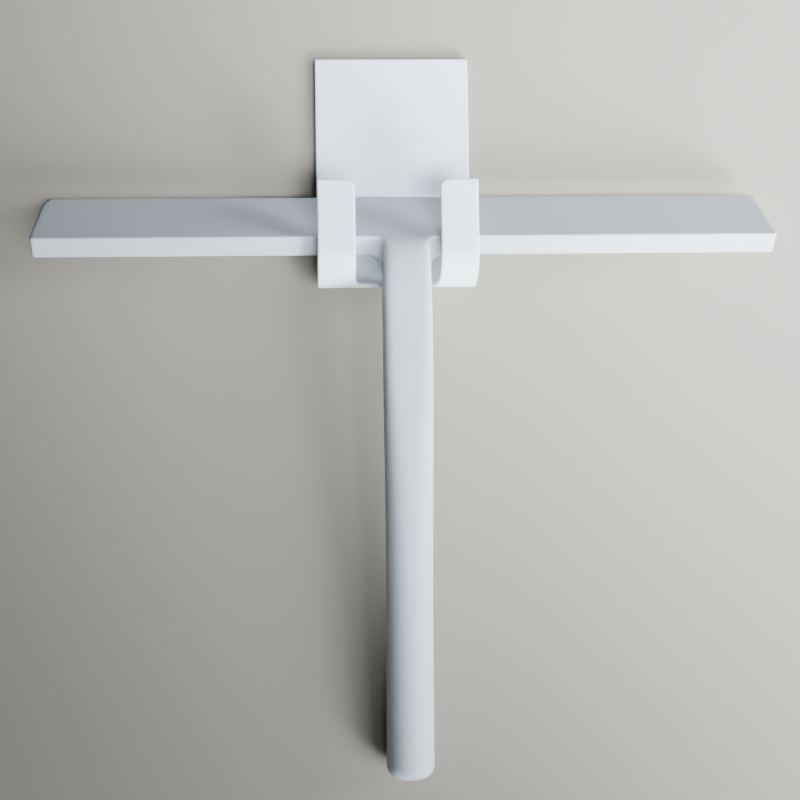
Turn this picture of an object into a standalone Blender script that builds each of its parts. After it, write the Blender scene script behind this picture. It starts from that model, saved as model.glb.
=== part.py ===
"""Window squeegee with its wall holder: a J-shaped hook with an adhesive pad, and a T-shaped
squeegee whose rigid core is covered all over in silicone and ends in a flexible wiping blade.

Frame: the holder's back is on z = 0, +Z points away from it, +Y points up the back plate from the
hook to its top edge, and +X runs along the squeegee's head. The origin is the centre of the pad.
"""

import math

import bmesh
import bpy
from mathutils import Matrix, Vector

MM = 0.001
GAP = 0.3 * MM                       # between pieces that touch

# Holder: one sheet bent into a J and slotted for the handle
HOLDER_WIDTH = 67.0 * MM
SHEET = 2.0 * MM
BEND_RADIUS = 14.0 * MM              # outside of the J's bend
PLATE_FLAT = 88.4 * MM               # flat back above the bend
PRONG_REACH = 28.5 * MM              # from the bend's centre line to the prong tips
PRONG_LEAN = math.radians(1.5)       # towards the plate
TIP_FLARE = math.radians(5.0)        # away from the plate, at the very tip
TIP_FLARE_LENGTH = 4.5 * MM
SLOT_WIDTH = 35.6 * MM
SLOT_PULL = math.radians(30.0)       # direction that the slot is cut in, above the plate's plane
SLOT_END = math.radians(-3.0)        # where the slot ends on the bend, from its lowest line
SLOT_CORNER_X = 5.6 * MM
SLOT_CORNER_U = 9.0 * MM
CUTTER_SPILL = 1.0 * MM              # how far a cutter runs past the edge that it rounds
TIP_CORNER = 3.8 * MM                # rounding of the prongs' inner corners
EDGE_ROUND = 0.45 * MM

PAD_THICK = 1.0 * MM
PAD_MARGIN = 3.0 * MM
PAD_CORNER = 5.0 * MM

# Squeegee head: a wedge, wide face up, that thins to the blade
HEAD_WIDTH = 313.0 * MM              # along the ridge
END_LEAN = 1.5 * MM                  # how much further in each end is at the lip
SQUEEGEE_X = 3.5 * MM                # how far the squeegee lies off the holder's centre line
RIDGE_Y = -38.2 * MM
RIDGE_Z = 24.8 * MM
FACE_RUN = 21.2 * MM                 # from the ridge to the blade's edge, along +Y
FACE_DROP = 20.4 * MM                # and down
BACK_RUN = 8.2 * MM                  # from the ridge to the back's lower edge, along -Y
BACK_DROP = 6.0 * MM
ROOT_DEPTH = 18.0 * MM               # from the ridge to the blade's root, along the face
ROOT_THICK = 3.1 * MM
LIP_THICK = 1.0 * MM
BACK_ROUND = 1.4 * MM
RIDGE_ROUND = 0.8 * MM
END_ROUND = 1.2 * MM

# Handle: distance from the ridge, top and bottom above the ridge's height, half width, squareness
HANDLE_LENGTH = 227.6 * MM
HANDLE_START = -9.0                  # inside the head
HANDLE_STATIONS = (
    (HANDLE_START, -9.4, -12.6, 12.6, 4.5),
    (-4.5, -4.8, -11.4, 12.6, 4.5),
    (0.2, 0.0, -10.4, 12.4, 4.5),
    (3.0, 2.3, -10.0, 11.4, 4.5),
    (7.0, 3.9, -9.6, 10.4, 4.4),
    (12.0, 5.1, -9.2, 10.0, 4.3),
    (28.0, 6.6, -8.6, 10.1, 4.2),
    (60.0, 7.2, -8.6, 10.2, 3.6),
    (90.0, 6.2, -10.4, 10.1, 2.8),
    (120.0, 3.9, -13.1, 9.9, 2.3),
    (150.0, 0.9, -16.4, 9.8, 2.12),
    (180.0, -2.4, -19.7, 9.9, 2.05),
    (HANDLE_LENGTH / MM, -6.9, -24.4, 10.1, 2.0),
)
HANDLE_END_ROUND = 6.2 * MM
RING_POINTS = 40
NECK_LENGTH = 15.0                   # rings are close as far as here
NECK_STEP = 1.5
GRIP_STEP = 12.0

# Core inside the silicone
FACE_SKIN = 1.7 * MM                 # silicone over the head's core
END_SKIN = 4.0 * MM
GRIP_SKIN = 2.6 * MM                 # silicone over the handle's core
CORE_TIP_DEPTH = 13.0 * MM           # how far the core reaches towards the blade
CORE_BACK = 2.4 * MM                 # silicone behind the head's core
CORE_START = 0.6                     # where the core's rod leaves the bar
POCKETS = 7
POCKET_START = 26.0 * MM
POCKET_END = 11.0 * MM               # from the last pocket to the handle's end
POCKET_WALL = 2.0 * MM
RIB = 1.8 * MM

# Holes that the core is held by in the silicone's mould
LOCATING_RADIUS = 1.6 * MM
LOCATING_LENGTH = 6.6 * MM
LOCATING_X = (-120.0 * MM, -60.0 * MM, 60.0 * MM, 120.0 * MM)
LOCATING_DEPTH = 6.0 * MM
LOCATING_ALONG = (45.0, 150.0)

FACE_ANGLE = math.atan2(FACE_DROP, FACE_RUN)
FACE_LENGTH = math.hypot(FACE_RUN, FACE_DROP)
BEND_Y = -PLATE_FLAT / 2
BEND_Z = PAD_THICK + BEND_RADIUS
PARTS = "window_squeegee"
CUTTERS = "cutters"


def clear_scene():
    for thing in list(bpy.data.objects):
        bpy.data.objects.remove(thing)


def collection(name):
    found = bpy.data.collections.new(name)
    bpy.context.scene.collection.children.link(found)
    return found


def plastic(name, colour, roughness, subsurface=0.0):
    made = bpy.data.materials.new(name)
    made.use_nodes = True
    shader = made.node_tree.nodes["Principled BSDF"]
    shader.inputs["Base Color"].default_value = (*colour, 1.0)
    shader.inputs["Roughness"].default_value = roughness
    shader.inputs["Metallic"].default_value = 0.0
    shader.inputs["Subsurface Weight"].default_value = subsurface
    return made


def add(name, mesh, material, group=PARTS):
    thing = bpy.data.objects.new(name, mesh)
    bpy.data.collections[group].objects.link(thing)
    if material:
        mesh.materials.append(material)
    if group == CUTTERS:
        thing.hide_render = True
        thing.display_type = "WIRE"
    return thing


def boolean(target, operation, tool):
    cut = target.modifiers.new(f"{operation.lower()} {tool.name}", "BOOLEAN")
    cut.operation = operation
    cut.solver = "EXACT"
    cut.object = tool


def round_edges(target, width, segments=2, angle=35.0):
    bevel = target.modifiers.new("rounded edges", "BEVEL")
    bevel.width = width
    bevel.segments = segments
    bevel.limit_method = "ANGLE"
    bevel.angle_limit = math.radians(angle)
    bevel.use_clamp_overlap = True


def bake(thing):
    """Replace an object's mesh with what its modifiers make of it."""
    graph = bpy.context.evaluated_depsgraph_get()
    mesh = bpy.data.meshes.new_from_object(thing.evaluated_get(graph))
    thing.modifiers.clear()
    thing.data = mesh


def smooth(mesh, angle=40.0):
    mesh.shade_smooth()
    mesh.set_sharp_from_angle(angle=math.radians(angle))


def extrude_outline(name, points, half_width, material, group=PARTS, centre_x=0.0):
    """Carry a closed outline in the Y-Z plane along X, to both sides of centre_x."""
    curve = bpy.data.curves.new(name + " outline", "CURVE")
    curve.dimensions = "2D"
    curve.fill_mode = "BOTH"
    curve.extrude = half_width
    spline = curve.splines.new("POLY")
    spline.points.add(len(points) - 1)
    for point, (y, z) in zip(spline.points, points):
        point.co = (y, z, 0.0, 1.0)
    spline.use_cyclic_u = True
    guide = bpy.data.objects.new(name + " guide", curve)
    bpy.data.collections[CUTTERS].objects.link(guide)
    guide.matrix_world = Matrix(((0, 0, 1, centre_x), (1, 0, 0, 0), (0, 1, 0, 0), (0, 0, 0, 1)))
    bpy.context.view_layer.update()
    graph = bpy.context.evaluated_depsgraph_get()
    mesh = bpy.data.meshes.new_from_object(guide.evaluated_get(graph))
    mesh.transform(guide.matrix_world)
    bpy.data.objects.remove(guide)
    work = bmesh.new()
    work.from_mesh(mesh)
    bmesh.ops.remove_doubles(work, verts=work.verts, dist=0.01 * MM)
    bmesh.ops.recalc_face_normals(work, faces=work.faces)
    work.to_mesh(mesh)
    work.free()
    return add(name, mesh, material, group)


def arc(centre, radius, start, end, steps):
    """Points on a circle from one angle to another, both ends included."""
    turn = [start + (end - start) * step / steps for step in range(steps + 1)]
    return [(centre[0] + radius * math.cos(a), centre[1] + radius * math.sin(a)) for a in turn]


def rounded_corner(before, corner, after, radius, steps=4):
    """An arc of the given radius that replaces a corner between two straight runs."""
    corner, before, after = Vector(corner), Vector(before), Vector(after)
    way_in = (before - corner).normalized()
    way_out = (after - corner).normalized()
    half = math.acos(max(-1.0, min(1.0, way_in.dot(way_out)))) / 2
    centre = corner + (way_in + way_out).normalized() * (radius / math.sin(half))
    first = corner + way_in * (radius / math.tan(half)) - centre
    last = corner + way_out * (radius / math.tan(half)) - centre
    start = math.atan2(first.y, first.x)
    sweep = math.atan2(last.y, last.x) - start
    sweep = (sweep + math.pi) % (2 * math.pi) - math.pi
    return arc(centre, radius, start, start + sweep, steps)


# ---------------------------------------------------------------- holder

def holder_path():
    """The J's outer line in the Y-Z plane: plate, half-round bend, leaning prong, flared tip."""
    path = [(PLATE_FLAT / 2, PAD_THICK)]
    path += arc((BEND_Y, BEND_Z), BEND_RADIUS, 1.5 * math.pi, 0.5 * math.pi + PRONG_LEAN, 28)
    y, z = path[-1]
    straight = BEND_Y + PRONG_REACH - TIP_FLARE_LENGTH - y
    path.append((y + straight, z - straight * math.tan(PRONG_LEAN)))
    y, z = path[-1]
    path.append((y + TIP_FLARE_LENGTH, z + TIP_FLARE_LENGTH * math.tan(TIP_FLARE - PRONG_LEAN)))
    return path


def bent_sheet(name, material):
    """An open surface along the J's outer line, thickened inwards."""
    mesh = bpy.data.meshes.new(name)
    work = bmesh.new()
    path = holder_path()
    start = [work.verts.new((-HOLDER_WIDTH / 2, y, z)) for y, z in path]
    rail = [work.edges.new(pair) for pair in zip(start, start[1:])]
    swept = bmesh.ops.extrude_edge_only(work, edges=rail)
    moved = [part for part in swept["geom"] if isinstance(part, bmesh.types.BMVert)]
    bmesh.ops.translate(work, verts=moved, vec=(HOLDER_WIDTH, 0, 0))
    work.to_mesh(mesh)
    work.free()
    sheet = add(name, mesh, material)
    wall = sheet.modifiers.new("sheet", "SOLIDIFY")
    wall.thickness = SHEET
    wall.offset = -1.0
    wall.use_even_offset = True
    return sheet


def slot_cutters():
    """One cutter for the bend, whose outline has elliptical lower corners and is carried outwards
    along the pull direction, and one box for the prongs."""
    low = BEND_RADIUS * math.sin(SLOT_END - SLOT_PULL)
    side = SLOT_WIDTH / 2
    high = 2 * BEND_RADIUS
    outline = [(side, high), (-side, high)]
    for step in range(9):
        angle = math.pi + 0.5 * math.pi * step / 8
        outline.append((-side + SLOT_CORNER_X + SLOT_CORNER_X * math.cos(angle),
                        low + SLOT_CORNER_U + SLOT_CORNER_U * math.sin(angle)))
    outline += [(-x, u) for x, u in reversed(outline[2:])]
    near, far = -0.6 * BEND_RADIUS, BEND_RADIUS + 3 * CUTTER_SPILL
    bend = extrude_outline("slot in the bend", outline, (far - near) / 2, None, CUTTERS)
    # the outline's (through, across, up) directions, as world vectors
    through = Vector((0, -math.cos(SLOT_PULL), math.sin(SLOT_PULL)))
    across = Vector((1, 0, 0))
    up = Vector((0, math.sin(SLOT_PULL), math.cos(SLOT_PULL)))
    turn = Matrix((through, across, up)).transposed().to_4x4()
    centre = Vector((0, BEND_Y, BEND_Z)) + through * (near + far) / 2
    bend.data.transform(Matrix.Translation(centre) @ turn)

    first, last = BEND_Y + BEND_RADIUS / 2, BEND_Y + PRONG_REACH + CUTTER_SPILL
    under, over = BEND_Z + BEND_RADIUS / 2, BEND_Z + BEND_RADIUS + 2 * CUTTER_SPILL
    outline = [(first, under), (last, under), (last, over), (first, over)]
    return [bend, extrude_outline("slot between the prongs", outline, side, None, CUTTERS)]


def tip_cutters():
    """Rounds the prongs' inner corners: a square prism less a quarter cylinder, on each side."""
    made = []
    tip = BEND_Y + PRONG_REACH
    for side in (-1, 1):
        inner = side * SLOT_WIDTH / 2
        centre = (inner + side * TIP_CORNER, tip - TIP_CORNER)
        start = math.pi if side > 0 else 0.0
        outline = arc(centre, TIP_CORNER, start, 0.5 * math.pi, 8)
        clear = inner - side * CUTTER_SPILL
        outline += [(centre[0], tip + CUTTER_SPILL), (clear, tip + CUTTER_SPILL),
                    (clear, centre[1])]
        cutter = extrude_outline(f"tip {side}", outline, 2 * SHEET, None, CUTTERS)
        # turn the outline's plane from Y-Z to X-Y
        cutter.data.transform(Matrix(((0, 1, 0, 0), (0, 0, 1, 0), (1, 0, 0, 0), (0, 0, 0, 1))))
        cutter.data.transform(Matrix.Translation((0, 0, PAD_THICK + 2 * BEND_RADIUS - SHEET / 2)))
        made.append(cutter)
    return made


def make_holder(material):
    holder = bent_sheet("holder_bracket", material)
    bake(holder)
    work = bmesh.new()
    work.from_mesh(holder.data)
    bmesh.ops.recalc_face_normals(work, faces=work.faces)
    work.to_mesh(holder.data)
    work.free()
    for cutter in slot_cutters() + tip_cutters():
        boolean(holder, "DIFFERENCE", cutter)
    bake(holder)
    round_edges(holder, EDGE_ROUND)
    smooth(holder.data)
    return holder


def make_pad(material):
    """A flat sheet of adhesive foam with rounded corners, behind the plate."""
    half_x = HOLDER_WIDTH / 2 - PAD_MARGIN
    half_y = PLATE_FLAT / 2 - PAD_MARGIN
    outline = []
    for corner in range(4):
        sign_x = 1 if corner in (0, 3) else -1
        sign_y = 1 if corner in (0, 1) else -1
        centre = (sign_x * (half_x - PAD_CORNER), sign_y * (half_y - PAD_CORNER))
        start = corner * 0.5 * math.pi
        outline += arc(centre, PAD_CORNER, start, start + 0.5 * math.pi, 6)
    pad = extrude_outline("adhesive_pad", outline, (PAD_THICK - GAP) / 2, material)
    pad.data.transform(Matrix(((0, 1, 0, 0), (0, 0, 1, 0), (1, 0, 0, 0), (0, 0, 0, 1))))
    pad.data.transform(Matrix.Translation((0, 0, (PAD_THICK - GAP) / 2)))
    return pad


# ---------------------------------------------------------------- squeegee

def on_face(depth, height):
    """World (y, z) of a point given by its distance from the ridge down the wide face and its
    height above that face."""
    cosine, sine = math.cos(FACE_ANGLE), math.sin(FACE_ANGLE)
    return (RIDGE_Y + depth * cosine + height * sine, RIDGE_Z - depth * sine + height * cosine)


def back_corner():
    """The back's lower edge, in the face's own directions."""
    cosine, sine = math.cos(FACE_ANGLE), math.sin(FACE_ANGLE)
    return (-BACK_RUN * cosine + BACK_DROP * sine, -BACK_RUN * sine - BACK_DROP * cosine)


def under_side(depth):
    """How far the underside lies below the wide face, at a depth behind the blade's root."""
    corner = back_corner()
    share = (depth - corner[0]) / (ROOT_DEPTH - corner[0])
    return -corner[1] + (ROOT_THICK + corner[1]) * share


def root_axis():
    return on_face(ROOT_DEPTH, -ROOT_THICK / 2)


def head_outline():
    """Section of the silicone head behind the blade: ridge, wide face, hollow seat for the blade's
    round root, underside and back."""
    seat = ROOT_THICK / 2 + GAP
    mouth = math.sqrt(seat ** 2 - (ROOT_THICK / 2) ** 2)
    corner = back_corner()
    ridge = rounded_corner(corner, (0, 0), (ROOT_DEPTH, 0), RIDGE_ROUND)
    under = (ROOT_DEPTH - mouth, -ROOT_THICK)
    back = rounded_corner(under, corner, (0, 0), BACK_ROUND)
    lean = math.atan2(ROOT_THICK / 2, mouth)
    hollow = arc((ROOT_DEPTH, -ROOT_THICK / 2), seat, math.pi - lean, math.pi + lean, 10)
    return [on_face(*point) for point in ridge + hollow + back]


def blade_outline():
    """Section of the blade: round root, then two straight sides down to the lip."""
    half = ROOT_THICK / 2
    root = arc((ROOT_DEPTH, -half), half, 0.5 * math.pi, 1.5 * math.pi, 12)
    lip = [(FACE_LENGTH, -LIP_THICK), (FACE_LENGTH, 0.0)]
    return [on_face(*point) for point in root + lip]


def station_values(distance):
    """Top, bottom, half width and squareness of the handle at a distance from the ridge, on a
    smooth curve through the stations (cubic with the slopes of the neighbouring stations)."""
    rows = HANDLE_STATIONS
    index = max(i for i, row in enumerate(rows[:-1]) if row[0] <= distance or i == 0)
    low, high = rows[index], rows[index + 1]
    span = high[0] - low[0]
    t = (distance - low[0]) / span

    def slope(i, column):
        before, after = rows[max(i - 1, 0)], rows[min(i + 1, len(rows) - 1)]
        return (after[column] - before[column]) / (after[0] - before[0])

    found = []
    for column in (1, 2, 3, 4):
        a, b = low[column], high[column]
        ma, mb = slope(index, column) * span, slope(index + 1, column) * span
        found.append((2 * t ** 3 - 3 * t ** 2 + 1) * a + (t ** 3 - 2 * t ** 2 + t) * ma
                     + (3 * t ** 2 - 2 * t ** 3) * b + (t ** 3 - t ** 2) * mb)
    return found


def handle_distances(start, end, round_end):
    """Distances from the ridge where the handle gets a ring: close at the neck and the end."""
    neck_steps = round((NECK_LENGTH - start) / NECK_STEP)
    steps = [start + (NECK_LENGTH - start) * k / neck_steps for k in range(neck_steps)]
    grip_end = end - round_end
    grip_steps = round((grip_end - NECK_LENGTH) / GRIP_STEP)
    steps += [NECK_LENGTH + (grip_end - NECK_LENGTH) * k / grip_steps for k in range(grip_steps)]
    steps += [end - round_end * math.cos(0.5 * math.pi * k / 7) for k in range(8)]
    return steps


def handle_solid(name, inset, start, material, group):
    """The handle as a loft of superellipses that change from a flat-topped bar at the neck to an
    oval at the rounded end, drawn in by inset all round."""
    round_end = HANDLE_END_ROUND / MM
    end = (HANDLE_LENGTH - inset) / MM
    rings = []
    for distance in handle_distances(start, end, round_end):
        top, bottom, half_width, power = station_values(distance)
        overrun = max(0.0, distance - (end - round_end))
        tuck = round_end - math.sqrt(max(0.0, round_end ** 2 - overrun ** 2))
        half_x = half_width - inset / MM - tuck
        half_z = (top - bottom) / 2 - inset / MM - tuck
        ring = []
        for step in range(RING_POINTS):
            angle = 2 * math.pi * (step + 0.5) / RING_POINTS
            c, s = math.cos(angle), math.sin(angle)
            x = half_x * math.copysign(abs(c) ** (2 / power), c)
            z = half_z * math.copysign(abs(s) ** (2 / power), s)
            ring.append((SQUEEGEE_X + x * MM, RIDGE_Y - distance * MM,
                         RIDGE_Z + ((top + bottom) / 2 + z) * MM))
        rings.append(ring)
    mesh = bpy.data.meshes.new(name)
    work = bmesh.new()
    loops = [[work.verts.new(point) for point in ring] for ring in rings]
    for here, there in zip(loops, loops[1:]):
        for step in range(RING_POINTS):
            following = (step + 1) % RING_POINTS
            work.faces.new((here[step], here[following], there[following], there[step]))
    work.faces.new(loops[0])
    work.faces.new(loops[-1])
    bmesh.ops.recalc_face_normals(work, faces=work.faces)
    work.to_mesh(mesh)
    work.free()
    return add(name, mesh, material, group)


def core_bar_outline(spare):
    """Section of the rigid bar inside the head, grown by spare all round."""
    corner = back_corner()
    lean = (-ROOT_THICK - corner[1]) / (ROOT_DEPTH - corner[0])
    skin = FACE_SKIN - spare
    near, far = corner[0] + CORE_BACK - spare, CORE_TIP_DEPTH + spare
    under = [(d, corner[1] + (d - corner[0]) * lean + skin) for d in (far, near)]
    points = [(near, -skin), (far, -skin)] + under
    return [on_face(*point) for point in points]


def core_solid(name, spare, material, group):
    """The T of the core: the bar in the head joined to the rod in the handle."""
    bar = extrude_outline(name, core_bar_outline(spare), HEAD_WIDTH / 2 - END_SKIN + spare,
                          material, group, SQUEEGEE_X)
    rod = handle_solid(name + " rod", GRIP_SKIN - spare, CORE_START, None, CUTTERS)
    boolean(bar, "UNION", rod)
    return bar


def pocket_cutters():
    """Pockets open at the rod's underside, with ribs between them."""
    pitch = (HANDLE_LENGTH - POCKET_END - POCKET_START) / POCKETS
    made = []
    for number in range(POCKETS):
        first = POCKET_START + number * pitch
        last = first + pitch - RIB
        middle = (first + last) / 2
        half_x = station_values(middle / MM)[2] * MM - GRIP_SKIN - POCKET_WALL
        half_y = (last - first) / 2
        roof = min(station_values(along / MM)[0] for along in (first, middle, last)) * MM
        reach = roof - GRIP_SKIN - POCKET_WALL
        low = station_values(last / MM)[1] * MM
        bpy.ops.mesh.primitive_cube_add(size=1.0)
        cutter = bpy.context.object
        cutter.name = f"pocket {number + 1}"
        cutter.data.transform(Matrix.Diagonal((2 * half_x, 2 * half_y, reach - low, 1.0)))
        cutter.data.transform(Matrix.Translation(
            (SQUEEGEE_X, RIDGE_Y - middle, RIDGE_Z + (reach + low) / 2)))
        for old in list(cutter.users_collection):
            old.objects.unlink(cutter)
        bpy.data.collections[CUTTERS].objects.link(cutter)
        cutter.hide_render = True
        cutter.display_type = "WIRE"
        made.append(cutter)
    return made


def make_core(material):
    core = core_solid("stiffening_core", 0.0, material, PARTS)
    bake(core)
    for cutter in pocket_cutters():
        boolean(core, "DIFFERENCE", cutter)
    smooth(core.data)
    return core


def locating_cutters():
    """Round holes through the underside of the silicone, from outside to the core."""
    turn = Matrix.Rotation(-FACE_ANGLE, 4, "X")
    y, z = on_face(LOCATING_DEPTH, -under_side(LOCATING_DEPTH))
    made = [Matrix.Translation((SQUEEGEE_X + x, y, z)) @ turn for x in LOCATING_X]
    for distance in LOCATING_ALONG:
        bottom = station_values(distance)[1] * MM
        made.append(Matrix.Translation((SQUEEGEE_X, RIDGE_Y - distance * MM, RIDGE_Z + bottom)))
    cutters = []
    for number, place in enumerate(made):
        mesh = bpy.data.meshes.new(f"locating {number + 1}")
        work = bmesh.new()
        bmesh.ops.create_cone(work, cap_ends=True, segments=16, radius1=LOCATING_RADIUS,
                              radius2=LOCATING_RADIUS, depth=LOCATING_LENGTH, matrix=place)
        work.to_mesh(mesh)
        work.free()
        cutters.append(add(mesh.name, mesh, None, CUTTERS))
    return cutters


def round_ends(head):
    """Rounds the head's end edges, except round the thin mouth of the blade's seat."""
    work = bmesh.new()
    work.from_mesh(head.data)
    seat = Vector(root_axis())
    chosen = []
    for edge in work.edges:
        ends = [vert.co for vert in edge.verts]
        on_end = all(abs(abs(co.x - SQUEEGEE_X) - HEAD_WIDTH / 2) < 0.01 * MM for co in ends)
        clear = all((Vector((co.y, co.z)) - seat).length > ROOT_THICK for co in ends)
        outer = any(abs(face.normal.x) < 0.5 for face in edge.link_faces)
        if on_end and clear and outer:
            chosen.append(edge)
    bmesh.ops.bevel(work, geom=chosen, offset=END_ROUND, segments=2, profile=0.5,
                    affect="EDGES", clamp_overlap=True)
    work.to_mesh(head.data)
    work.free()


def lean_ends(mesh):
    """Draws the ends in towards the lip, in proportion to the depth below the ridge."""
    for vert in mesh.vertices:
        depth = ((vert.co.y - RIDGE_Y) * math.cos(FACE_ANGLE)
                 - (vert.co.z - RIDGE_Z) * math.sin(FACE_ANGLE))
        draw = END_LEAN * max(depth, 0.0) / FACE_LENGTH
        vert.co.x -= math.copysign(draw, vert.co.x - SQUEEGEE_X)


def make_cover(material):
    cover = extrude_outline("silicone_cover", head_outline(), HEAD_WIDTH / 2, material,
                            centre_x=SQUEEGEE_X)
    round_ends(cover)
    lean_ends(cover.data)
    grip = handle_solid("grip", 0.0, HANDLE_START, None, CUTTERS)
    boolean(cover, "UNION", grip)
    boolean(cover, "DIFFERENCE", core_solid("core room", GAP, None, CUTTERS))
    for cutter in locating_cutters():
        boolean(cover, "DIFFERENCE", cutter)
    smooth(cover.data)
    return cover


def make_blade(material):
    """The blade's origin is on the line that it flexes about."""
    blade = extrude_outline("wiper_blade", blade_outline(), HEAD_WIDTH / 2, material,
                            centre_x=SQUEEGEE_X)
    lean_ends(blade.data)
    y, z = root_axis()
    blade.data.transform(Matrix.Translation((-SQUEEGEE_X, -y, -z)))
    blade.location = (SQUEEGEE_X, y, z)
    smooth(blade.data)
    return blade


def main():
    clear_scene()
    collection(PARTS)
    collection(CUTTERS)
    white = plastic("white moulded plastic", (0.82, 0.84, 0.87), 0.45)
    foam = plastic("adhesive foam", (0.72, 0.73, 0.74), 0.85)
    silicone = plastic("white silicone", (0.80, 0.82, 0.85), 0.55, 0.1)
    resin = plastic("core plastic", (0.62, 0.64, 0.66), 0.5)
    make_holder(white)
    make_pad(foam)
    make_core(resin)
    make_cover(silicone)
    make_blade(silicone)


main()
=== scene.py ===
"""The looks of the window squeegee and its wall holder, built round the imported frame."""

import math

import bpy
import numpy as np
from mathutils import Euler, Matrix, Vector


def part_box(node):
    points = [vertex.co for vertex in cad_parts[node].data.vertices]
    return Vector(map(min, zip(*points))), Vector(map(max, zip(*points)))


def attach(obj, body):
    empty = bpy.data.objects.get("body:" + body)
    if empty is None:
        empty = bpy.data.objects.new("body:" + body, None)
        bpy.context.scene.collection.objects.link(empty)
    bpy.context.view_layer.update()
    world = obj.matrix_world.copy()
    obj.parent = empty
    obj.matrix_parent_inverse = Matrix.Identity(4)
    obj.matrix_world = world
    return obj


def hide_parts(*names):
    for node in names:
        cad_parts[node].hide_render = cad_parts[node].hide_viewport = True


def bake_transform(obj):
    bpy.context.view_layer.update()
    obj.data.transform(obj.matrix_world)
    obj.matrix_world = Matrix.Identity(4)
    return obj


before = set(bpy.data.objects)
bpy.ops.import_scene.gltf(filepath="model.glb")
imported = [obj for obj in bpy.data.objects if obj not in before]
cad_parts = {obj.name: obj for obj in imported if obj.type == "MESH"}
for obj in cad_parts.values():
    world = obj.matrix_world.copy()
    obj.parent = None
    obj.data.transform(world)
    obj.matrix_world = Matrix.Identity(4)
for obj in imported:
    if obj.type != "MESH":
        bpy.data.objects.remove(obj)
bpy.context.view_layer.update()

MM = 0.001

# ---------------------------------------------------------------- places, from the frame

COVER_LOW, COVER_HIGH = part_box("silicone_cover")
BLADE_LOW, BLADE_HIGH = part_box("wiper_blade")
HOLDER_LOW, HOLDER_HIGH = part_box("holder_bracket")

HEAD_X = (COVER_LOW[0] + COVER_HIGH[0]) / 2
HEAD_HALF = (COVER_HIGH[0] - COVER_LOW[0]) / 2
HANDLE_END_Y = COVER_LOW[1]

# Head section: the wide face falls from the ridge to the blade's edge
FACE_RUN = 21.2 * MM                 # along +Y
FACE_DROP = 20.4 * MM
BACK_RUN = 8.2 * MM                  # from the ridge to the back's lower edge, along -Y
BACK_DROP = 6.0 * MM
ROOT_DEPTH = 18.0 * MM               # from the ridge to the blade's root, along the face
ROOT_THICK = 3.1 * MM
LIP_THICK = 1.0 * MM
LIP_ROUND = 0.25 * MM
BACK_ROUND = 1.4 * MM
RIDGE_ROUND = 0.7 * MM
END_ROUND = 1.5 * MM
END_LEAN = 1.5 * MM                  # how much further in each end is at the lip
RIDGE_Y = BLADE_HIGH[1] - FACE_RUN
FACE_ANGLE = math.atan2(FACE_DROP, FACE_RUN)
FACE_COS, FACE_SIN = math.cos(FACE_ANGLE), math.sin(FACE_ANGLE)
FACE_LENGTH = math.hypot(FACE_RUN, FACE_DROP)
RIDGE_Z = BLADE_LOW[2] + FACE_DROP + LIP_THICK * FACE_COS

# Handle: distance from the ridge, top and bottom above the ridge's height, half width (all in
# mm) and squareness
STATIONS = np.array((
    (-9.0, -8.9, -12.6, 10.2, 4.5),
    (-4.5, -3.4, -11.4, 10.2, 4.5),
    (0.2, 1.5, -10.4, 10.2, 4.5),
    (3.0, 2.9, -10.0, 10.1, 4.5),
    (7.0, 4.3, -9.6, 10.0, 4.4),
    (12.0, 5.3, -9.2, 10.0, 5.2),
    (28.0, 6.6, -8.6, 10.1, 6.0),
    (60.0, 7.2, -8.6, 10.2, 4.4),
    (90.0, 6.2, -10.4, 10.1, 2.8),
    (120.0, 3.9, -13.1, 9.9, 2.3),
    (150.0, 0.9, -16.4, 9.8, 2.12),
    (180.0, -2.4, -19.7, 9.9, 2.05),
    (227.6, -6.9, -24.4, 10.1, 2.0),
))
HANDLE_START = STATIONS[0, 0] * MM   # inside the head
HANDLE_LENGTH = RIDGE_Y - HANDLE_END_Y
HANDLE_END_ROUND = 6.2 * MM

# Neck, where the handle rises out of the head
NECK_STEP = 1.2 * MM                 # the arch's height over the ridge, at the ridge
NECK_SLOPE = 0.50
NECK_ARCH = 0.0122 / MM              # how fast the arch levels out
NECK_LENGTH = 12.0 * MM
NECK_TOP_ROUND = 2.6 * MM            # fillet beside the neck, at the top and low down
NECK_LOW_ROUND = 7.0 * MM
NECK_FADE = 1.0 * MM                 # how far under the ridge the fillet starts to widen
CREASE_ROUND = 1.1 * MM

# Small round recesses in the underside of the head and of the handle
LOCATING_X = (-120.0 * MM, -60.0 * MM, 60.0 * MM, 120.0 * MM)
LOCATING_DEPTH = 6.0 * MM
LOCATING_ALONG = (45.0 * MM, 150.0 * MM)
LOCATING_RADIUS = 1.6 * MM
LOCATING_RECESS = 1.5 * MM

# Holder: a sheet bent into a J, with a slot for the handle
SHEET = 2.0 * MM
BEND_RADIUS = (HOLDER_HIGH[2] - HOLDER_LOW[2]) / 2
BEND_Y = HOLDER_LOW[1] + BEND_RADIUS
BEND_Z = HOLDER_LOW[2] + BEND_RADIUS
PRONG_TIP_Y = BEND_Y + 28.5 * MM
PRONG_LEAN = math.radians(1.5)
TIP_FLARE = math.radians(5.0)
TIP_FLARE_LENGTH = 4.5 * MM
SLOT_HALF = 17.8 * MM
SLOT_END = math.radians(-6.0)        # where the slot ends on the bend, from its lowest line
SLOT_CORNER_X = 5.6 * MM             # half axes of the elliptical corners
SLOT_CORNER_U = 11.0 * MM
TIP_CORNER = 3.8 * MM
HOLDER_EDGE = 0.55 * MM

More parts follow.
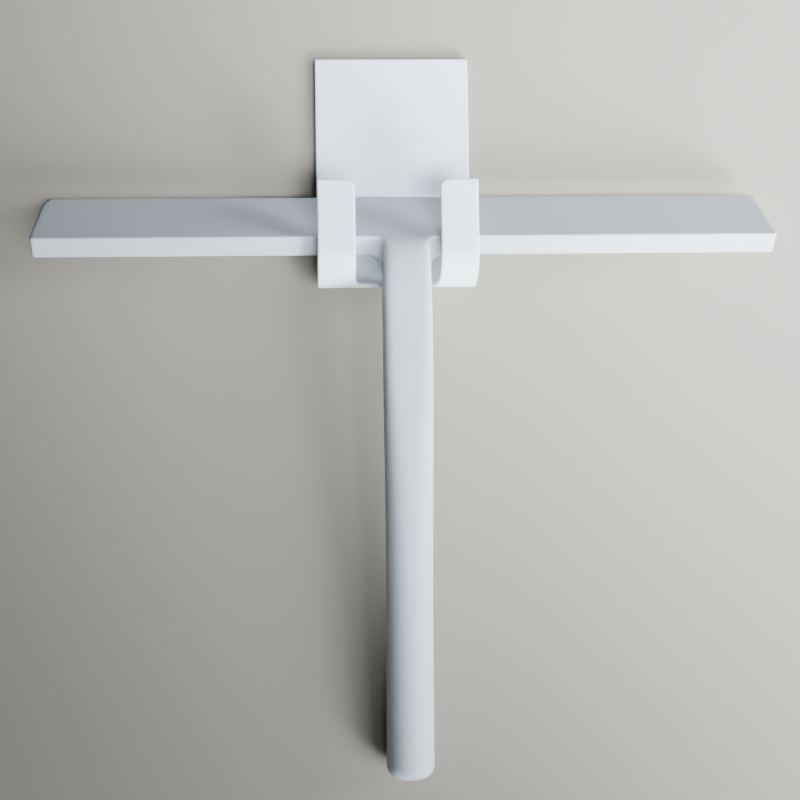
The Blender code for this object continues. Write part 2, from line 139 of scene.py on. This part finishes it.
# Surroundings
FLOOR_SIZE = 6.0
FLOOR_Z = -0.1 * MM
BACKDROP_COLOUR = (0.93, 0.95, 0.97)
BACKDROP_LIGHT = 0.55
ROOM_LIGHT = 0.03
CAMERA_PLACE = (-39.84 * MM, -125.13 * MM, 490.6 * MM)
CAMERA_TURN = (0.0408, -0.0255, -0.0118)
CAMERA_LENS = 50.74
CAMERA_SHIFT = 0.0835

# Smallest slopes that a distance is divided by, so that it stays finite far inside a solid
LEAST_SIZE = 0.05
LEAST_HANDLE_SLOPE = 20.0
LEAST_CORNER_SLOPE = 50.0

# ---------------------------------------------------------------- surfaces from solid formulas


def surface_nets(xs, ys, zs, field, solid):
    """The surface of a solid on a grid of unequal steps. field holds the signed distance at the
    grid's points, negative inside. Each cell that the surface crosses gets one vertex, the mean of
    the points where its edges are crossed, and each grid edge that is crossed gets one face
    through its four cells. The vertices are then moved along the distance's gradient until they
    lie on the surface of solid(x, y, z)."""
    inside = field < 0
    cells = np.zeros(tuple(n - 1 for n in field.shape), dtype=np.int8)
    for i in (0, 1):
        for j in (0, 1):
            for k in (0, 1):
                cells += inside[i:i + cells.shape[0], j:j + cells.shape[1], k:k + cells.shape[2]]
    active = np.argwhere((cells > 0) & (cells < 8))
    number = np.full(cells.shape, -1, dtype=np.int64)
    number[tuple(active.T)] = np.arange(len(active))
    axes = (xs, ys, zs)
    total = np.zeros((len(active), 3))
    count = np.zeros(len(active))
    for axis in range(3):
        others = [a for a in range(3) if a != axis]
        for p in (0, 1):
            for q in (0, 1):
                start = active.copy()
                start[:, others[0]] += p
                start[:, others[1]] += q
                end = start.copy()
                end[:, axis] += 1
                a, b = field[tuple(start.T)], field[tuple(end.T)]
                crossed = (a < 0) != (b < 0)
                t = np.where(crossed, a / np.where(crossed, a - b, 1.0), 0.0)
                point = np.stack([axes[d][start[:, d]] for d in range(3)], axis=1)
                step = axes[axis][end[:, axis]] - axes[axis][start[:, axis]]
                point[:, axis] += t * step
                total += point * crossed[:, None]
                count += crossed
    vertices = total / count[:, None]
    faces = []
    for axis in range(3):
        first, second = [(1, 2), (2, 0), (0, 1)][axis]
        low = [slice(None)] * 3
        high = [slice(None)] * 3
        low[axis], high[axis] = slice(None, -1), slice(1, None)
        a, b = inside[tuple(low)], inside[tuple(high)]
        edges = np.argwhere(a != b)
        outward = a[tuple(edges.T)]
        ring = []
        for p, q in ((-1, -1), (0, -1), (0, 0), (-1, 0)):
            cell = edges.copy()
            cell[:, first] += p
            cell[:, second] += q
            ring.append(number[tuple(cell.T)])
        quads = np.stack(ring, axis=1)
        quads[~outward] = quads[~outward][:, ::-1]
        faces.append(quads)
    faces = np.concatenate(faces)
    return settle(vertices, solid), faces


def gradient(points, solid, step=0.02 * MM):
    """Central differences of the distance along the three axes."""
    slope = np.empty_like(points)
    for axis in range(3):
        shift = np.zeros(3)
        shift[axis] = step
        ahead, behind = points + shift, points - shift
        slope[:, axis] = (solid(*ahead.T) - solid(*behind.T)) / (2 * step)
    return slope


def settle(points, solid, rounds=4, most=0.6 * MM):
    """Each point moves by minus its distance over its slope, along the slope."""
    for _ in range(rounds):
        slope = gradient(points, solid)
        square = np.maximum((slope ** 2).sum(axis=1), 0.05)
        move = -solid(*points.T)[:, None] * slope / square[:, None]
        length = np.maximum(np.linalg.norm(move, axis=1, keepdims=True), 1e-12)
        points = points + move * np.minimum(1.0, most / length)
    return points


def rounded_overlap(a, b, radius):
    """The overlap of two solids, its outer edge rounded: beyond both faces less the radius, the
    distance is measured from a circle of that radius."""
    over = np.hypot(np.maximum(a + radius, 0), np.maximum(b + radius, 0))
    return np.minimum(np.maximum(a, b), -radius) + over


def rounded_join(a, b, radius):
    """Two solids joined with a hollow fillet of the given radius between them."""
    under = np.hypot(np.maximum(radius - a, 0), np.maximum(radius - b, 0))
    return np.maximum(np.minimum(a, b), radius) - under


def polygon_distance(u, v, corners):
    """Signed distance from a closed outline: to its nearest side, negative where a line from the
    point crosses the outline an odd number of times."""
    nearest = np.full(np.broadcast(u, v).shape, np.inf)
    odd = np.zeros(nearest.shape, dtype=bool)
    for (u0, v0), (u1, v1) in zip(corners, corners[1:] + corners[:1]):
        du, dv = u1 - u0, v1 - v0
        t = np.clip(((u - u0) * du + (v - v0) * dv) / (du * du + dv * dv), 0, 1)
        nearest = np.minimum(nearest, (u - u0 - t * du) ** 2 + (v - v0 - t * dv) ** 2)
        if dv:
            odd ^= ((v0 > v) != (v1 > v)) & (u < u0 + (v - v0) / dv * du)
    return np.where(odd, -1, 1) * np.sqrt(nearest)


def grid_line(low, high, step, fine=()):
    """Grid points from low to high a coarse step apart, closer where a (start, end, step) says."""
    cuts = sorted([p for start, end, _ in fine for p in (start, end)] + [low, high])
    cuts = [p for p in cuts if low <= p <= high]
    line = [np.array([low])]
    for start, end in zip(cuts, cuts[1:]):
        if end - start < 1e-9:
            continue
        middle = (start + end) / 2
        size = min([s for a, b, s in fine if a <= middle <= b], default=step)
        line.append(np.linspace(start, end, max(1, round((end - start) / size)) + 1)[1:])
    return np.concatenate(line)


def make_mesh(name, vertices, faces):
    mesh = bpy.data.meshes.new(name)
    mesh.from_pydata(vertices.tolist(), [], faces.tolist())
    mesh.validate()
    mesh.shade_smooth()
    made = bpy.data.objects.new(name, mesh)
    bpy.context.scene.collection.objects.link(made)
    return made


# ---------------------------------------------------------------- squeegee


def face_directions(y, z):
    """Depth down the wide face from the ridge, and height above that face."""
    dy, dz = y - RIDGE_Y, z - RIDGE_Z
    return dy * FACE_COS - dz * FACE_SIN, dy * FACE_SIN + dz * FACE_COS


def head_corners():
    """The head's section in the face's own directions: wide face, lip, slightly hollow underside
    with a knee at the blade's root, and a rounded lower back corner. It is drawn in by the lip's
    rounding, which the distance gives back, and stands a little proud of the ridge, where the
    roof cuts it off."""
    r = LIP_ROUND
    back = np.array((-BACK_RUN * FACE_COS + BACK_DROP * FACE_SIN,
                     -BACK_RUN * FACE_SIN - BACK_DROP * FACE_COS))
    knee = np.array((ROOT_DEPTH, -ROOT_THICK))
    to_knee = (knee - back) / np.linalg.norm(knee - back)
    to_ridge = -back / np.linalg.norm(back)
    half = math.acos(to_knee @ to_ridge) / 2
    middle = (to_knee + to_ridge) / np.linalg.norm(to_knee + to_ridge)
    centre = back + middle * BACK_ROUND / math.sin(half)
    way_a = math.atan2(*(back + to_knee * BACK_ROUND / math.tan(half) - centre)[::-1])
    way_b = math.atan2(*(back + to_ridge * BACK_ROUND / math.tan(half) - centre)[::-1])
    turn = (way_b - way_a + math.pi) % (2 * math.pi) - math.pi
    angles = way_a + turn * np.linspace(0, 1, 9)
    arc = [(centre[0] + (BACK_ROUND - r) * math.cos(a), centre[1] + (BACK_ROUND - r) * math.sin(a))
           for a in angles]
    return [(r, r * 2), (FACE_LENGTH - r, -r), (FACE_LENGTH - r, -LIP_THICK + r),
            (knee[0], knee[1] + r)] + arc


def smooth_stations(distance):
    """The handle's top, bottom, half width and squareness at each distance from the ridge, on a
    cubic through the stations whose slope at each is that between its neighbours."""
    where, rows = STATIONS[:, 0] * MM, STATIONS[:, 1:].copy()
    rows[:, :3] *= MM
    before = np.concatenate(([0], np.arange(len(rows) - 1)))
    after = np.concatenate((np.arange(1, len(rows)), [len(rows) - 1]))
    slopes = (rows[after] - rows[before]) / (where[after] - where[before])[:, None]
    at = np.clip(distance, where[0], where[-1])
    index = np.clip(np.searchsorted(where, at, side="right") - 1, 0, len(rows) - 2)
    span = (where[index + 1] - where[index])[..., None]
    t = ((at - where[index]) / span[..., 0])[..., None]
    low, high = rows[index], rows[index + 1]
    value = ((2 * t ** 3 - 3 * t ** 2 + 1) * low + (t ** 3 - 2 * t ** 2 + t) * slopes[index] * span
             + (3 * t ** 2 - 2 * t ** 3) * high + (t ** 3 - t ** 2) * slopes[index + 1] * span)
    return value[..., 0], value[..., 1], value[..., 2], value[..., 3]


def handle_distance(x, y, z):
    """Across the handle, the p-th root of (x over half width) to the p plus (z over half height)
    to the p, less one, over its own slope; along it, cut off flat inside the head and with a
    round edge at the end."""
    along = RIDGE_Y - y
    top, bottom, half_x, power = smooth_stations(along)
    half_z = (top - bottom) / 2
    u = np.abs(x - HEAD_X) / half_x
    v = np.abs(z - RIDGE_Z - (top + bottom) / 2) / half_z
    size = np.maximum((u ** power + v ** power) ** (1 / power), LEAST_SIZE)
    slope = size ** (1 - power) * np.hypot(u ** (power - 1) / half_x, v ** (power - 1) / half_z)
    across = (size - 1) / np.maximum(slope, LEAST_HANDLE_SLOPE)
    ended = rounded_overlap(across, along - HANDLE_LENGTH, HANDLE_END_ROUND)
    return np.maximum(ended, HANDLE_START - along)


def neck_top(along):
    """Height of the neck's top over the ridge: an arch that starts just above the ridge, rises
    with the wide face's direction and levels out, then lifts clear of the handle."""
    arch = NECK_STEP + NECK_SLOPE * along - NECK_ARCH * np.maximum(along, 0) ** 2
    return np.where(along < NECK_LENGTH, arch, arch + 2 * NECK_ARCH * (along - NECK_LENGTH) ** 2)


def squeegee_distance(x, y, z):
    """The wedge of the head, its ends leaning in towards the lip, joined to the handle with a
    fillet that widens downwards, cut off along the wide face and under the neck's arch, and with
    small round recesses in the underside."""
    depth, height = face_directions(y, z)
    section = polygon_distance(depth, height, head_corners()) - LIP_ROUND
    lean = END_LEAN * np.clip(depth / FACE_LENGTH, -0.2, 1)
    head = rounded_overlap(section, np.abs(x - HEAD_X) - HEAD_HALF + lean, END_ROUND)
    lower = np.clip((RIDGE_Z - NECK_FADE - z) / (4 * NECK_FADE), 0, 1)
    fillet = NECK_TOP_ROUND + (NECK_LOW_ROUND - NECK_TOP_ROUND) * lower
    joined = rounded_join(head, handle_distance(x, y, z), fillet)
    roof = rounded_overlap(height, z - RIDGE_Z - neck_top(RIDGE_Y - y), CREASE_ROUND)
    shape = rounded_overlap(joined, roof, RIDGE_ROUND)
    for place in LOCATING_X:
        ring = np.hypot(x - HEAD_X - place, depth - LOCATING_DEPTH) - LOCATING_RADIUS
        recess = np.maximum(ring, height + under_side(LOCATING_DEPTH) - LOCATING_RECESS)
        shape = np.maximum(shape, -recess)
    for place in LOCATING_ALONG:
        bottom = RIDGE_Z + float(smooth_stations(np.array([place]))[1][0])
        ring = np.hypot(x - HEAD_X, RIDGE_Y - y - place) - LOCATING_RADIUS
        recess = np.maximum(ring, z - bottom - LOCATING_RECESS)
        shape = np.maximum(shape, -recess)
    return shape


def under_side(depth):
    """How far the underside lies below the wide face at a depth behind the blade's root."""
    back_depth = -BACK_RUN * FACE_COS + BACK_DROP * FACE_SIN
    back_height = BACK_RUN * FACE_SIN + BACK_DROP * FACE_COS
    share = (depth - back_depth) / (ROOT_DEPTH - back_depth)
    return back_height + (ROOT_THICK - back_height) * share


def make_squeegee(material):
    margin = 1.5 * MM
    fine = 0.5 * MM
    near_holes = [(HEAD_X + p - 2.6 * MM, HEAD_X + p + 2.6 * MM, 0.4 * MM) for p in LOCATING_X]
    ends = [(HEAD_X + s * HEAD_HALF - 2.5 * MM, HEAD_X + s * HEAD_HALF + margin, 0.45 * MM)
            for s in (-1, 1)]
    xs = grid_line(HEAD_X - HEAD_HALF - margin, HEAD_X + HEAD_HALF + margin, 2.5 * MM,
                   [(HEAD_X - 22 * MM, HEAD_X + 22 * MM, 0.6 * MM)] + near_holes + ends)
    along = [(RIDGE_Y - p - 2.6 * MM, RIDGE_Y - p + 2.6 * MM, 0.4 * MM) for p in LOCATING_ALONG]
    ys = grid_line(HANDLE_END_Y - margin, BLADE_HIGH[1] + margin, 1.3 * MM,
                   [(RIDGE_Y - 24 * MM, BLADE_HIGH[1] + margin, 0.42 * MM),
                    (HANDLE_END_Y - margin, HANDLE_END_Y + 7 * MM, fine)] + along)
    zs = grid_line(-margin, COVER_HIGH[2] + margin, 0.45 * MM)
    field = squeegee_distance(xs[:, None, None], ys[None, :, None], zs[None, None, :])
    vertices, faces = surface_nets(xs, ys, zs, field, squeegee_distance)
    squeegee = make_mesh("silicone_squeegee", vertices, faces)
    squeegee.data.materials.append(material)
    return squeegee


# ---------------------------------------------------------------- holder


def bend_sheet(across, along, depth):
    """Carries a flat sheet round the J. along runs from the plate's top edge; depth is measured in
    from the J's outer side. The plate is straight, the bend is half a turn less the lean, the
    prong is straight and its tip turns outwards a little over its last stretch."""
    plate = HOLDER_HIGH[1] - BEND_Y
    turn = math.pi + PRONG_LEAN
    bend = turn * BEND_RADIUS
    y = np.empty_like(along)
    z = np.empty_like(along)
    flat = along <= plate
    y[flat] = HOLDER_HIGH[1] - along[flat]
    z[flat] = HOLDER_LOW[2] + depth[flat]
    curved = (along > plate) & (along <= plate + bend)
    angle = -(along[curved] - plate) / BEND_RADIUS - math.pi / 2
    radius = BEND_RADIUS - depth[curved]
    y[curved] = BEND_Y + radius * np.cos(angle)
    z[curved] = BEND_Z + radius * np.sin(angle)
    prong = along > plate + bend
    run = along[prong] - plate - bend
    into = depth[prong]
    flare_start = prong_length() - TIP_FLARE_LENGTH
    tilt = -PRONG_LEAN + TIP_FLARE * np.clip((run - flare_start) / TIP_FLARE_LENGTH, 0, 1)
    rise = np.where(run > flare_start,
                    TIP_FLARE * np.maximum(run - flare_start, 0) ** 2 / TIP_FLARE_LENGTH / 2, 0)
    end = -turn - math.pi / 2
    y[prong] = (BEND_Y + BEND_RADIUS * math.cos(end) + run * math.cos(PRONG_LEAN)
                + into * np.sin(tilt))
    z[prong] = (BEND_Z + BEND_RADIUS * math.sin(end) - run * math.sin(PRONG_LEAN) + rise
                - into * np.cos(tilt))
    return np.stack((across, y, z), axis=1)


def prong_length():
    return (PRONG_TIP_Y - BEND_Y + BEND_RADIUS * math.sin(PRONG_LEAN)) / math.cos(PRONG_LEAN)


def flat_holder_distance(x, u, w):
    """The holder before it is bent: a rectangle of sheet less a slot with elliptical corners at
    its closed end and rounded corners where it opens, all edges rounded."""
    plate = HOLDER_HIGH[1] - BEND_Y
    length = plate + (math.pi + PRONG_LEAN) * BEND_RADIUS + prong_length()
    slot_start = plate + (math.pi / 2 + SLOT_END) * BEND_RADIUS
    half = (HOLDER_HIGH[0] - HOLDER_LOW[0]) / 2
    outer = np.maximum(np.abs(x) - half, np.maximum(u - length, -u))
    # closed end: in the corner, distance from the ellipse; elsewhere from the straight sides
    cx = np.maximum(np.abs(x) - (SLOT_HALF - SLOT_CORNER_X), 0) / SLOT_CORNER_X
    cu = np.maximum(slot_start + SLOT_CORNER_U - u, 0) / SLOT_CORNER_U
    size = np.maximum(np.hypot(cx, cu), LEAST_SIZE)
    slope = np.hypot(cx / SLOT_CORNER_X, cu / SLOT_CORNER_U) / size
    slot = np.where((cx > 0) & (cu > 0), (size - 1) / np.maximum(slope, LEAST_CORNER_SLOPE),
                    np.maximum(np.abs(x) - SLOT_HALF, slot_start - u))
    sides = np.maximum(outer, -slot)
    tip = rounded_overlap(u - length, SLOT_HALF - np.abs(x), TIP_CORNER)
    sides = np.where(u > length - 2 * TIP_CORNER, np.maximum(sides, tip), sides)
    faces = np.abs(w - SHEET / 2) - SHEET / 2
    return rounded_overlap(sides, faces, HOLDER_EDGE)


def make_holder(material):
    plate = HOLDER_HIGH[1] - BEND_Y
    length = plate + (math.pi + PRONG_LEAN) * BEND_RADIUS + prong_length()
    half = (HOLDER_HIGH[0] - HOLDER_LOW[0]) / 2
    margin = 0.9 * MM
    edge = 0.3 * MM
    xs = grid_line(-half - margin, half + margin, 1.6 * MM,
                   [(s * p - 1.4 * MM, s * p + 1.4 * MM, edge) for s in (-1, 1)
                    for p in (half, SLOT_HALF)]
                   + [(s * SLOT_HALF - 6 * MM, s * SLOT_HALF + 4 * MM, 0.5 * MM) for s in (-1, 1)])
    us = grid_line(-margin, length + margin, 1.6 * MM,
                   [(-margin, 1.2 * MM, edge), (length - 4.5 * MM, length + margin, edge),
                    (plate, plate + math.pi * BEND_RADIUS, 0.55 * MM)])
    ws = grid_line(-0.9 * MM, SHEET + 0.9 * MM, 0.3 * MM)
    field = flat_holder_distance(xs[:, None, None], us[None, :, None], ws[None, None, :])
    vertices, faces = surface_nets(xs, us, ws, field, flat_holder_distance)
    bent = bend_sheet(*vertices.T)
    holder = make_mesh("wall_holder", bent, faces)
    holder.data.materials.append(material)
    return holder


# ---------------------------------------------------------------- materials


class Nodes:
    """A small hand for building a material's node tree."""

    def __init__(self, name):
        self.material = bpy.data.materials.new(name)
        self.material.use_nodes = True
        self.tree = self.material.node_tree
        self.shader = self.tree.nodes["Principled BSDF"]
        self.place = self.add("ShaderNodeTexCoord").outputs["Object"]

    def add(self, kind, **settings):
        node = self.tree.nodes.new(kind)
        for key, value in settings.items():
            setattr(node, key, value)
        return node

    def link(self, start, end):
        self.tree.links.new(start, end)

    def noise(self, scale, detail=2.0, roughness=0.5, stretch=(1, 1, 1)):
        where = self.add("ShaderNodeMapping")
        where.inputs["Scale"].default_value = stretch
        self.link(self.place, where.inputs["Vector"])
        node = self.add("ShaderNodeTexNoise")
        node.inputs["Scale"].default_value = scale
        node.inputs["Detail"].default_value = detail
        node.inputs["Roughness"].default_value = roughness
        self.link(where.outputs["Vector"], node.inputs["Vector"])
        return node.outputs["Fac"]

    def spread(self, value, low, high, to_low, to_high):
        node = self.add("ShaderNodeMapRange")
        for socket, number in zip(("From Min", "From Max", "To Min", "To Max"),
                                  (low, high, to_low, to_high)):
            node.inputs[socket].default_value = number
        self.link(value, node.inputs["Value"])
        return node.outputs["Result"]

    def blend(self, share, first, second):
        node = self.add("ShaderNodeMix", data_type="RGBA")
        self.link(share, node.inputs["Factor"])
        for socket, colour in ((6, first), (7, second)):
            if hasattr(colour, "is_output"):
                self.link(colour, node.inputs[socket])
            else:
                node.inputs[socket].default_value = (*colour, 1.0)
        return node.outputs[2]

    def times(self, first, second):
        node = self.add("ShaderNodeMath", operation="MULTIPLY")
        self.link(first, node.inputs[0])
        if hasattr(second, "is_output"):
            self.link(second, node.inputs[1])
        else:
            node.inputs[1].default_value = second
        return node.outputs[0]

    def specks(self, cells, size, share):
        """Small round dots in some of the cells of a scattered pattern."""
        cell = self.add("ShaderNodeTexVoronoi")
        cell.inputs["Scale"].default_value = cells
        self.link(self.place, cell.inputs["Vector"])
        dot = self.spread(cell.outputs["Distance"], size * 0.6, size, 1.0, 0.0)
        split = self.add("ShaderNodeSeparateColor")
        self.link(cell.outputs["Color"], split.inputs["Color"])
        chosen = self.spread(split.outputs["Red"], share - 0.01, share, 1.0, 0.0)
        return self.times(dot, chosen)

    def bump(self, height, distance, strength=1.0, under=None):
        node = self.add("ShaderNodeBump")
        node.inputs["Distance"].default_value = distance
        node.inputs["Strength"].default_value = strength
        self.link(height, node.inputs["Height"])
        if under:
            self.link(under, node.inputs["Normal"])
        return node.outputs["Normal"]


def silicone_material():
    """Matte white silicone: a fine blasted grain, a soft uneven sheen and a little lint."""
    made = Nodes("matte_white_silicone")
    shade = made.spread(made.noise(38.0, 3.0), 0.35, 0.65, 0.0, 1.0)
    tone = made.blend(shade, (0.531, 0.525, 0.564), (0.554, 0.548, 0.586))
    lint = made.specks(420.0, 0.16, 0.035)
    tone = made.blend(made.times(lint, 0.35), tone, (0.42, 0.40, 0.38))
    made.link(tone, made.shader.inputs["Base Color"])
    rough = made.spread(made.noise(160.0, 2.0), 0.3, 0.7, 0.50, 0.62)
    made.link(rough, made.shader.inputs["Roughness"])
    grain = made.bump(made.noise(2600.0, 2.0, 0.6), 0.05 * MM, 0.35)
    swell = made.bump(made.noise(55.0, 1.0), 0.10 * MM, 0.5, grain)
    made.link(swell, made.shader.inputs["Normal"])
    made.shader.inputs["Subsurface Weight"].default_value = 0.22
    made.shader.inputs["Subsurface Radius"].default_value = (1.0, 0.95, 0.9)
    made.shader.inputs["Subsurface Scale"].default_value = 1.2 * MM
    made.shader.inputs["Specular IOR Level"].default_value = 0.38
    made.shader.inputs["Sheen Weight"].default_value = 0.08
    made.shader.inputs["Sheen Roughness"].default_value = 0.6
    return made.material


def plastic_material():
    """Satin white moulded plastic: very fine texture and faint flow marks along the sheet."""
    made = Nodes("satin_white_plastic")
    shade = made.spread(made.noise(30.0, 2.0, 0.5, (1.0, 0.35, 1.0)), 0.35, 0.65, 0.0, 1.0)
    tone = made.blend(shade, (0.832, 0.865, 0.925), (0.855, 0.886, 0.940))
    dust = made.specks(330.0, 0.13, 0.02)
    tone = made.blend(made.times(dust, 0.3), tone, (0.45, 0.43, 0.40))
    made.link(tone, made.shader.inputs["Base Color"])
    rough = made.spread(made.noise(90.0, 3.0), 0.3, 0.7, 0.36, 0.46)
    made.link(rough, made.shader.inputs["Roughness"])
    grain = made.bump(made.noise(3200.0, 1.0, 0.5), 0.03 * MM, 0.25)
    flow = made.bump(made.noise(45.0, 1.0, 0.5, (1.0, 0.25, 1.0)), 0.06 * MM, 0.4, grain)
    made.link(flow, made.shader.inputs["Normal"])
    made.shader.inputs["Subsurface Weight"].default_value = 0.40
    made.shader.inputs["Subsurface Radius"].default_value = (1.0, 0.97, 0.93)
    made.shader.inputs["Subsurface Scale"].default_value = 1.5 * MM
    return made.material


def foam_material():
    """Closed-cell foam tape: pin-sized pores in a soft grey-white sheet, the pores coloured darker
    as painted shade in their pits.
    """
    made = Nodes("adhesive_foam")
    cells = made.add("ShaderNodeTexVoronoi")
    cells.inputs["Scale"].default_value = 1900.0
    made.link(made.place, cells.inputs["Vector"])
    pore_pits_and_painted_shade = made.spread(cells.outputs["Distance"], 0.1, 0.5, 1.0, 0.0)
    # Painted shade: the pore pits are coloured darker than the sheet around them.
    made.link(made.blend(pore_pits_and_painted_shade, (0.70, 0.71, 0.72), (0.56, 0.57, 0.59)),
              made.shader.inputs["Base Color"])
    made.link(made.spread(pore_pits_and_painted_shade, 0.0, 1.0, 0.72, 0.9), made.shader.inputs["Roughness"])
    made.link(made.bump(pore_pits_and_painted_shade, -0.08 * MM, 0.6), made.shader.inputs["Normal"])
    return made.material


def core_material():
    """Plain moulded plastic with a slight grain, unseen inside the silicone."""
    made = Nodes("core_plastic")
    shade = made.spread(made.noise(70.0, 2.0), 0.35, 0.65, 0.0, 1.0)
    made.link(made.blend(shade, (0.58, 0.60, 0.62), (0.64, 0.66, 0.68)),
              made.shader.inputs["Base Color"])
    made.link(made.spread(made.noise(300.0), 0.3, 0.7, 0.42, 0.55),
              made.shader.inputs["Roughness"])
    made.link(made.bump(made.noise(1500.0), 0.04 * MM, 0.3), made.shader.inputs["Normal"])
    return made.material


def floor_material():
    """A pale, slightly warm plain surface with a very fine fleck. Far from the part it fades into
    the backdrop, in sight only: the glow lights nothing."""
    made = Nodes("pale_surface")
    fleck = made.spread(made.noise(1100.0, 3.0, 0.7), 0.35, 0.65, 0.0, 1.0)
    tone = made.blend(fleck, (0.321, 0.270, 0.220), (0.342, 0.289, 0.238))
    grit = made.specks(260.0, 0.11, 0.05)
    tone = made.blend(made.times(grit, 0.35), tone, (0.22, 0.19, 0.16))
    made.link(tone, made.shader.inputs["Base Color"])
    made.shader.inputs["Roughness"].default_value = 0.75
    made.shader.inputs["Specular IOR Level"].default_value = 0.3
    made.link(made.bump(made.noise(1400.0, 3.0, 0.6), 0.06 * MM, 0.4),
              made.shader.inputs["Normal"])
    far = made.add("ShaderNodeVectorMath", operation="LENGTH")
    made.link(made.place, far.inputs[0])
    glow = made.spread(far.outputs["Value"], 0.5, 1.0, 0.0, BACKDROP_LIGHT)
    seen = made.add("ShaderNodeLightPath").outputs["Is Camera Ray"]
    made.link(made.times(glow, seen), made.shader.inputs["Emission Strength"])
    made.shader.inputs["Emission Color"].default_value = (*BACKDROP_COLOUR, 1.0)
    return made.material


# ---------------------------------------------------------------- stage


def make_floor(material):
    bpy.ops.mesh.primitive_plane_add(size=FLOOR_SIZE, location=(0, 0, FLOOR_Z))
    floor = bpy.context.object
    floor.name = "floor"
    floor.data.materials.append(material)


def make_camera():
    lens = bpy.data.cameras.new("camera")
    lens.sensor_width = 36.0
    lens.lens = CAMERA_LENS
    lens.shift_x = CAMERA_SHIFT
    lens.clip_start = 0.01
    lens.clip_end = 20.0
    camera = bpy.data.objects.new("camera", lens)
    bpy.context.scene.collection.objects.link(camera)
    camera.location = CAMERA_PLACE
    camera.rotation_euler = Euler(CAMERA_TURN, "XYZ")
    bpy.context.scene.camera = camera


def area_light(name, bearing, height, distance, target, size, power, spread, colour):
    """A square light on a bearing (degrees from +X) and a height angle, aimed at its target."""
    light = bpy.data.lights.new(name, "AREA")
    light.size = size
    light.energy = power
    light.spread = math.radians(spread)
    light.color = colour
    lamp = bpy.data.objects.new(name, light)
    bpy.context.scene.collection.objects.link(lamp)
    turn, rise = math.radians(bearing), math.radians(height)
    out = Vector((math.cos(turn) * math.cos(rise), math.sin(turn) * math.cos(rise),
                  math.sin(rise)))
    lamp.location = Vector(target) + out * distance
    lamp.rotation_mode = "QUATERNION"
    lamp.rotation_quaternion = (-out).to_track_quat("-Z", "Y")


def make_light():
    """Faint light from the room, which looks brighter than it shines, a window low on the right
    towards the handle's end, and four weak panels that brighten the head's right half."""
    world = bpy.data.worlds.new("soft room")
    bpy.context.scene.world = world
    world.use_nodes = True
    sky = world.node_tree.nodes["Background"]
    sky.inputs["Color"].default_value = (*BACKDROP_COLOUR, 1.0)
    seen = world.node_tree.nodes.new("ShaderNodeLightPath")
    strength = world.node_tree.nodes.new("ShaderNodeMapRange")
    strength.inputs["To Min"].default_value = ROOM_LIGHT
    strength.inputs["To Max"].default_value = BACKDROP_LIGHT
    world.node_tree.links.new(seen.outputs["Is Camera Ray"], strength.inputs["Value"])
    world.node_tree.links.new(strength.outputs["Result"], sky.inputs["Strength"])
    middle = (0.0, -0.12, 0.0)
    upper_right = (0.14, 0.10, 0.0)
    tint = (0.78, 0.91, 1.0)
    area_light("window", 315, 30, 0.8, middle, 0.5, 12.6, 180, tint)
    area_light("panel_front", 270, 60, 0.9, upper_right, 0.3, 0.78, 45, tint)
    area_light("panel_high", 300, 60, 0.9, upper_right, 0.3, 0.91, 45, tint)
    area_light("panel_low", 300, 22, 0.9, upper_right, 0.3, 2.55, 45, tint)
    area_light("panel_side", 0, 22, 0.9, upper_right, 0.3, 1.56, 45, tint)


# ---------------------------------------------------------------- assembly

silicone = silicone_material()
white_plastic = plastic_material()

squeegee = make_squeegee(silicone)
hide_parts("silicone_cover", "wiper_blade")
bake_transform(squeegee)

holder = make_holder(white_plastic)
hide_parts("holder_bracket")
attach(holder, "holder")

for node, material in (("adhesive_pad", foam_material()), ("stiffening_core", core_material())):
    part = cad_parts[node]
    part.data.materials.clear()
    part.data.materials.append(material)

make_floor(floor_material())
make_camera()
make_light()
